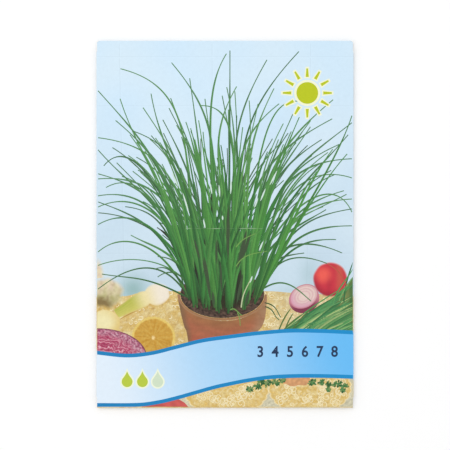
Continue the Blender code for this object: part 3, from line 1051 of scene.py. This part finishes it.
def draw_band():
    band = Drawing("print_band")
    left = ink(226, 239, 251)
    middle = ink(174, 216, 248)
    right = ink(108, 190, 246)

    def tint(u, v):
        height = (v - BAND_BOTTOM(u)) / (BAND_TOP(u) - BAND_BOTTOM(u))
        along = u / WIDTH + 0.06 * (height - 0.5)
        tone = mix(left, middle, ease(0.02, 0.50, along))
        return mix(tone, right, ease(0.42, 1, along))

    band.field(0, WIDTH, BAND_BOTTOM, BAND_TOP, tint, 140, step=0.8, rows=24)
    band.finish(size=1.4, depth=0.02)
    edges = Drawing("print_band_edges")
    teal = ink(24, 130, 188)
    blue = ink(26, 144, 204)
    for curve, side in ((BAND_TOP, -1), (BAND_BOTTOM, 1)):
        low = lambda u, c=curve, s=side: c(u) + min(0, s) * BAND_LINE
        high = lambda u, c=curve, s=side: c(u) + max(0, s) * BAND_LINE
        edges.field(0, WIDTH, low, high, lambda u, v: mix(teal, blue, u / WIDTH), 144, step=0.8, rows=4)
    edges.finish(size=0.9, depth=0.05)


DOILY_TILT = 0.66


def draw_doilies():
    doilies = Drawing("print_doilies")
    gap = ink(210, 204, 176)
    cream = ink(231, 207, 142)
    gold = ink(221, 187, 108)
    white = ink(243, 228, 184)
    brown = ink(186, 150, 92)
    below = lambda u: BAND_BOTTOM(u) + 0.3
    doilies.field(22, WIDTH, lambda u: 0, below,
                  lambda u, v: dim(gap, 1 + 0.35 * grain(u, v, 0.6) + 0.15 * grain(u, v, 2.5)),
                  20, step=0.5, rows=18)
    rng = random.Random(17)
    for centre, radius in (((40.6, 6), 13.2), ((66.8, 6.4), 12.8)):
        def scallop(angle, r=radius):
            edge = r * (1 + 0.035 * abs(sin(angle * 13)))
            return edge * cos(angle), DOILY_TILT * edge * sin(angle)

        def tint(u, v, share, angle):
            if v > BAND_BOTTOM(u) + 0.5:
                return cream
            tone = mix(cream, gold, 0.5 + 1.2 * grain(u, v, 1.3, 5))
            tone = mix(tone, brown, 0.8 * grain(u, v, 0.6, 15))
            tone = mix(tone, white, 1.1 * grain(u, v, 0.8, 25))
            tone = mix(tone, gold, 0.7 * ease(0.90, 0.94, share))
            return mix(tone, white, 0.8 * ease(0.955, 0.985, share))

        doilies.disc(centre, scallop, tint, 22, rings=44, spokes=156)
        for number in range(84):
            angle = rng.uniform(0, 2 * pi)
            away = radius * rng.uniform(0.3, 0.92)
            spot = (centre[0] + away * cos(angle), centre[1] + DOILY_TILT * away * sin(angle))
            if spot[1] > BAND_BOTTOM(spot[0]) or spot[1] < 0.8:
                continue
            turn = rng.uniform(0, 2 * pi)
            size = rng.uniform(0.6, 1.5)
            path = spiral(spot, size, turn, 7, 20, 0.75)
            doilies.ribbon(path, lambda t: 0.24, lambda t, side: white, 23.5 + number * 0.02)
    doilies.finish(pattern="weave", size=0.6, depth=0.10)
    fruit = Drawing("print_red_fruit")
    rose = ink(198, 92, 88)
    apricot = ink(212, 158, 112)
    fruit.disc((21.5, -1), ellipse(7.5, 4.4), lambda u, v, s, a: dim(rose, 1 + 0.3 * grain(u, v, 2)), 26)
    fruit.disc((62.6, 8.6), ellipse(4.6, 1.7, wobble=0.2),
               lambda u, v, s, a: dim(apricot, 1 + 0.3 * grain(u, v, 1)), 26)
    fruit.finish(size=0.8, depth=0.06)
    draw_parsley()


def draw_parsley():
    rng = random.Random(3)
    parsley = Drawing("print_parsley")
    greens = (ink(74, 122, 72), ink(96, 142, 86), ink(58, 100, 60), ink(130, 154, 96))
    sprigs = ((50.6, 6.9, 1.3), (53.4, 7.7, 1.5), (56, 8, 1.5), (48.2, 5.9, 1.1), (67.6, 8, 1.3),
              (70.4, 8, 1.2), (73, 7.2, 1.3), (75.4, 7.6, 1.5), (77.6, 6.8, 1.1), (72.6, 5.7, 0.7),
              (51.6, 8.2, 1.2), (58.2, 8.6, 1), (77.2, 5.4, 0.7))
    for u, v, size in sprigs:
        for number in range(24):
            angle = rng.uniform(0, 2 * pi)
            away = size * rng.random() ** 0.7
            spot = (u + away * cos(angle), v + 0.7 * away * sin(angle))
            tone = rng.choice(greens)
            parsley.disc(spot, ellipse(rng.uniform(0.3, 0.6), 0.3, angle, 0.5, angle),
                         lambda a, b, s, g, c=tone: dim(c, 1.1 - 0.3 * s), 25 + number * 0.2,
                         rings=2, spokes=10)
    parsley.finish(size=0.4, depth=0.12)


def draw_crease():
    """A fine worn line where the packet has been bent, across the middle of the print."""
    crease = Drawing("print_worn_crease")
    worn = ink(150, 182, 142)
    faint = ink(116, 154, 112)
    path = [(28 + 0.4 * k, 56.2 + 0.1 * grain(0.4 * k, 2, 6)) for k in range(68)]
    gaps = lambda t: 0.24 * ease(-0.25, 0.15, grain(28 * t, 4, 2.4))
    crease.ribbon(path, lambda t: 0.01 + gaps(t), lambda t, side: mix(worn, faint, abs(side)), 139)
    crease.finish(size=0.4, depth=0.08)


# ---- generic marks in place of words


def number_row(name, text, left, bottom, height, width, level, colour):
    """Plain digits, drawn with the built-in font and laid on the print."""
    curve = bpy.data.curves.new(name, "FONT")
    curve.body = text
    curve.resolution_u = 3
    curve.offset = 0.022
    made = show(name, curve)
    bpy.context.view_layer.update()
    mesh = bpy.data.meshes.new_from_object(made.evaluated_get(bpy.context.evaluated_depsgraph_get()))
    bpy.data.objects.remove(made)
    shape = bmesh.new()
    shape.from_mesh(mesh)
    bmesh.ops.triangulate(shape, faces=shape.faces)
    low_x, high_x, low_y, high_y = (
        end(corner.co[axis] for corner in shape.verts) for axis in (0, 1) for end in (min, max)
    )
    drawing = Drawing(name)
    for corner in shape.verts:
        u = left + (corner.co.x - low_x) / (high_x - low_x) * width
        v = bottom + (corner.co.y - low_y) / (high_y - low_y) * height
        corner.index = drawing.add(u, v, level, colour)
    for face in shape.faces:
        drawing.faces.append(tuple(corner.index for corner in face.verts))
    shape.free()
    drawing.finish(size=0.5, depth=0.08)


def draw_marks():
    """Sowing months as plain numbers, a sun and a drop, the usual signs on a seed packet."""
    navy = ink(46, 62, 92)
    number_row("print_month_numbers", "3  4  5  6  7  8", 50.4, 15.9, 3.6, 25.2, 148, navy)
    sun = Drawing("print_sun_sign")
    lime = ink(188, 200, 40)
    halo = ink(244, 246, 214)
    centre = (66, 98.6)
    flat = lambda tone: (lambda u, v, share, angle: tone)
    sun.disc(centre, ellipse(4.1, 4.1), flat(halo), 132, rings=6)
    sun.disc(centre, ellipse(3.4, 3.4), flat(lime), 134, rings=6)
    for ray in range(12):
        angle = 2 * pi * ray / 12
        for start, stop, wide, tone, level in ((4.6, 8.2, 1.9, halo, 132.4), (5, 7.7, 1, lime, 134)):
            path = [
                (centre[0] + (start + (stop - start) * k / 6) * sin(angle),
                 centre[1] + (start + (stop - start) * k / 6) * cos(angle))
                for k in range(7)
            ]
            sun.ribbon(path, lambda t, w=wide: w * (1 - 0.45 * t), lambda t, side, c=tone: c, level)
    sun.finish(size=0.6, depth=0.04)
    drop = Drawing("print_drop_signs")
    pale = ink(240, 246, 220)
    for number, u in enumerate((9.6, 14.4, 19.2)):
        for grow, tone, level in ((1.28, pale, 148), (1, ink(186, 204, 72), 150)):
            def outline(angle, g=grow):
                point = max(0, sin(angle)) ** 6
                across = g * 1.7 * cos(angle) * (1 - 0.8 * point)
                return across, g * (1.7 * sin(angle) + 1.6 * point)
            empty = number == 2 and grow == 1
            drop.disc((u, 8.2), outline, flat(ink(210, 226, 200) if empty else tone), level, rings=6)
    drop.finish(size=0.6, depth=0.04)


# ---- the packet itself


def extrude_out(shape, edges, move):
    grown = bmesh.ops.extrude_edge_only(shape, edges=edges)["geom"]
    for corner in grown:
        if isinstance(corner, bmesh.types.BMVert):
            corner.co = move(corner.co)
    return [edge for edge in grown if isinstance(edge, bmesh.types.BMEdge)]


def narrow_edges(edges, axis, factor):
    for corner in {corner for edge in edges for corner in edge.verts}:
        corner.co[axis] *= factor


def steps_for(radius, length, count):
    return [pi * radius / FOLD_STEPS] * FOLD_STEPS + [length / count] * count


def edges_where(shape, holds):
    return [edge for edge in shape.edges if all(holds(corner.co) for corner in edge.verts)]


def flat_sheet():
    """The die-cut sheet before it is folded, printed face up."""
    shape = bmesh.new()
    bmesh.ops.create_grid(shape, x_segments=PAPER_COLUMNS, y_segments=PAPER_ROWS, size=1.0)
    for corner in shape.verts:
        along = (corner.co.y + 1.0) / 2.0
        corner.co.x *= FRONT_X
        corner.co.y = FRONT_LOW + along * (FRONT_HIGH - FRONT_LOW)
    reach = HEIGHT / 2 - SIDE_FLAP_END
    for side in (-1.0, 1.0):
        edges = edges_where(shape, lambda p: abs(p.x - side * FRONT_X) < NEAR and abs(p.y) < reach)
        for number, length in enumerate(steps_for(SIDE_FOLD, SIDE_FLAP_WIDTH, SIDE_FLAP_ROWS)):
            edges = extrude_out(shape, edges, lambda p: (p.x + side * length, p.y, 0.0))
            if number >= FOLD_STEPS:
                narrow_edges(edges, 1, 1.0 - SIDE_FLAP_TAPER / reach / SIDE_FLAP_ROWS)
    edges = edges_where(shape, lambda p: abs(p.y - FRONT_LOW) < NEAR and abs(p.x) <= FRONT_X + NEAR)
    back_panel = HEIGHT - BOTTOM_FOLD - BACK_PANEL_SHORT
    for number, length in enumerate(steps_for(BOTTOM_FOLD, back_panel, PAPER_ROWS)):
        edges = extrude_out(shape, edges, lambda p: (p.x, p.y - length, 0.0))
        if number == FOLD_STEPS:
            narrow_edges(edges, 0, (WIDTH / 2 - BACK_PANEL_INSET) / FRONT_X)
    edges = edges_where(shape, lambda p: abs(p.y - FRONT_HIGH) < NEAR and abs(p.x) <= FRONT_X + NEAR)
    for number, length in enumerate(steps_for(TOP_FOLD, TOP_FLAP_DEPTH, TOP_FLAP_ROWS)):
        edges = extrude_out(shape, edges, lambda p: (p.x, p.y + length, 0.0))
        if number == 0:
            narrow_edges(edges, 0, (WIDTH / 2 - TOP_FLAP_INSET) / FRONT_X)
        elif number >= FOLD_STEPS:
            narrow_edges(edges, 0, 1.0 - TOP_FLAP_TAPER / TOP_FLAP_ROWS / FRONT_X)
    return shape


# Where the sheet's back begins below the front, and where the cloth ends at the side folds.
BACK_START = -2.0
FOLD_CLOTH_TOP = 35.0


def sheet_tint(x, y):
    """The print that runs on round the folds, by the flat sheet's own coordinates."""
    u = min(WIDTH, max(0.0, x + WIDTH / 2))
    v = y + HEIGHT / 2
    if v < BACK_START:
        return mix(ink(232, 243, 250), ink(206, 228, 246), ease(-110, -4, v))
    if v < BAND_BOTTOM(u):
        return cloth_tint(u, max(0.0, v))
    if v < BAND_TOP(u):
        return mix(ink(226, 239, 251), ink(122, 196, 248), u / WIDTH)
    if v < FOLD_CLOTH_TOP:
        return cloth_tint(u, v)
    return wall_tint(u, min(v, HEIGHT))


def make_paper():
    shape = flat_sheet()
    layer = shape.verts.layers.float_color.new("tint")
    for corner in shape.verts:
        x, y = corner.co.x, corner.co.y
        corner[layer] = (*sheet_tint(x, y), 1.0)
        corner.co = in_row(*folded(x, y))
    bmesh.ops.recalc_face_normals(shape, faces=shape.faces)
    front = max(shape.faces, key=lambda face: face.calc_center_median().z)
    if front.normal.z < 0.0:
        bmesh.ops.reverse_faces(shape, faces=shape.faces)
    for face in shape.faces:
        face.smooth = True
    mesh = bpy.data.meshes.new("folded_paper")
    shape.to_mesh(mesh)
    shape.free()
    mesh.materials.append(printed_material("printed paper", size=1.4, depth=0.03))
    mesh.materials.append(plain_material("bare paper", (0.86, 0.86, 0.84), 0.7, scale=1500.0, depth=0.04))
    made = show("folded_paper", mesh)
    wall = made.modifiers.new("paper thickness", "SOLIDIFY")
    wall.thickness = PAPER * MM
    wall.offset = -1.0
    wall.material_offset = 1
    wall.material_offset_rim = 1
    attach(made, "root")
    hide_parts("outer_envelope")


def finish_inside():
    foil = plain_material("foil laminate", (0.74, 0.75, 0.76), 0.32, 0.9,
                          scale=420.0, depth=0.08, relief=0.00015)
    glue = plain_material("dried glue", (0.80, 0.77, 0.66), 0.45, scale=700.0)
    seed = plain_material("black seed", (0.014, 0.012, 0.011), 0.62, scale=800.0, depth=0.35, relief=0.0003)
    looks = {"sachet_back_film": foil, "sachet_front_film": foil, "seed_fill": seed,
             "side_seam_glue_left": glue, "side_seam_glue_right": glue, "top_flap_glue": glue}
    for name, material in looks.items():
        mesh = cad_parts[name].data
        mesh.materials.clear()
        mesh.materials.append(material)


# ---- studio


KEY_LIGHT_PLACE = (-0.35, 0.35, 0.75)
# What the camera sees at the packet: its width in metres, and its shift from the middle in mm.
VIEW_WIDTH = 0.14096
VIEW_SHIFT = -0.235


def studio():
    world = bpy.data.worlds.new("studio light")
    bpy.context.scene.world = world
    world.use_nodes = True
    world.node_tree.nodes["Background"].inputs["Color"].default_value = (1.0, 1.0, 1.0, 1.0)
    world.node_tree.nodes["Background"].inputs["Strength"].default_value = 0.9
    shape = bmesh.new()
    bmesh.ops.create_grid(shape, x_segments=1, y_segments=1, size=1.5)
    mesh = bpy.data.meshes.new("studio_floor")
    shape.to_mesh(mesh)
    shape.free()
    mesh.materials.append(plain_material("studio floor", (0.985, 0.985, 0.985), 0.9, scale=30.0, depth=0.004))
    floor = show("studio_floor", mesh)
    floor.location.z = LOW[2] - 0.00002
    light = bpy.data.lights.new("studio_key", "AREA")
    light.size = 0.7
    light.energy = 1.5
    key = show("studio_key", light)
    key.location = KEY_LIGHT_PLACE
    key.rotation_euler = Vector(KEY_LIGHT_PLACE).to_track_quat("Z", "Y").to_euler()
    lens = bpy.data.cameras.new("front_camera")
    lens.lens = 120.0
    lens.sensor_width = 36.0
    lens.clip_start = 0.01
    camera = show("front_camera", lens)
    rim = RIM_TOP * MM
    away = VIEW_WIDTH * lens.lens / lens.sensor_width
    camera.location = (MIDDLE_X * MM, (MIDDLE_Y + VIEW_SHIFT) * MM, rim + away)
    bpy.context.scene.camera = camera
    bpy.context.scene.view_settings.view_transform = "Standard"


# A drawing's level says what it lies on; this order does not.
STEPS = (
    make_paper, draw_wall, draw_cloth, draw_garlic, draw_spring_onion, draw_onion_bulb, draw_lemon,
    draw_red_cabbage, draw_tomato, draw_half_onion, draw_cut_chives, draw_pot, draw_plant, draw_crease,
    draw_doilies, draw_band, draw_marks, finish_inside, studio,
)
for step in STEPS:
    step()
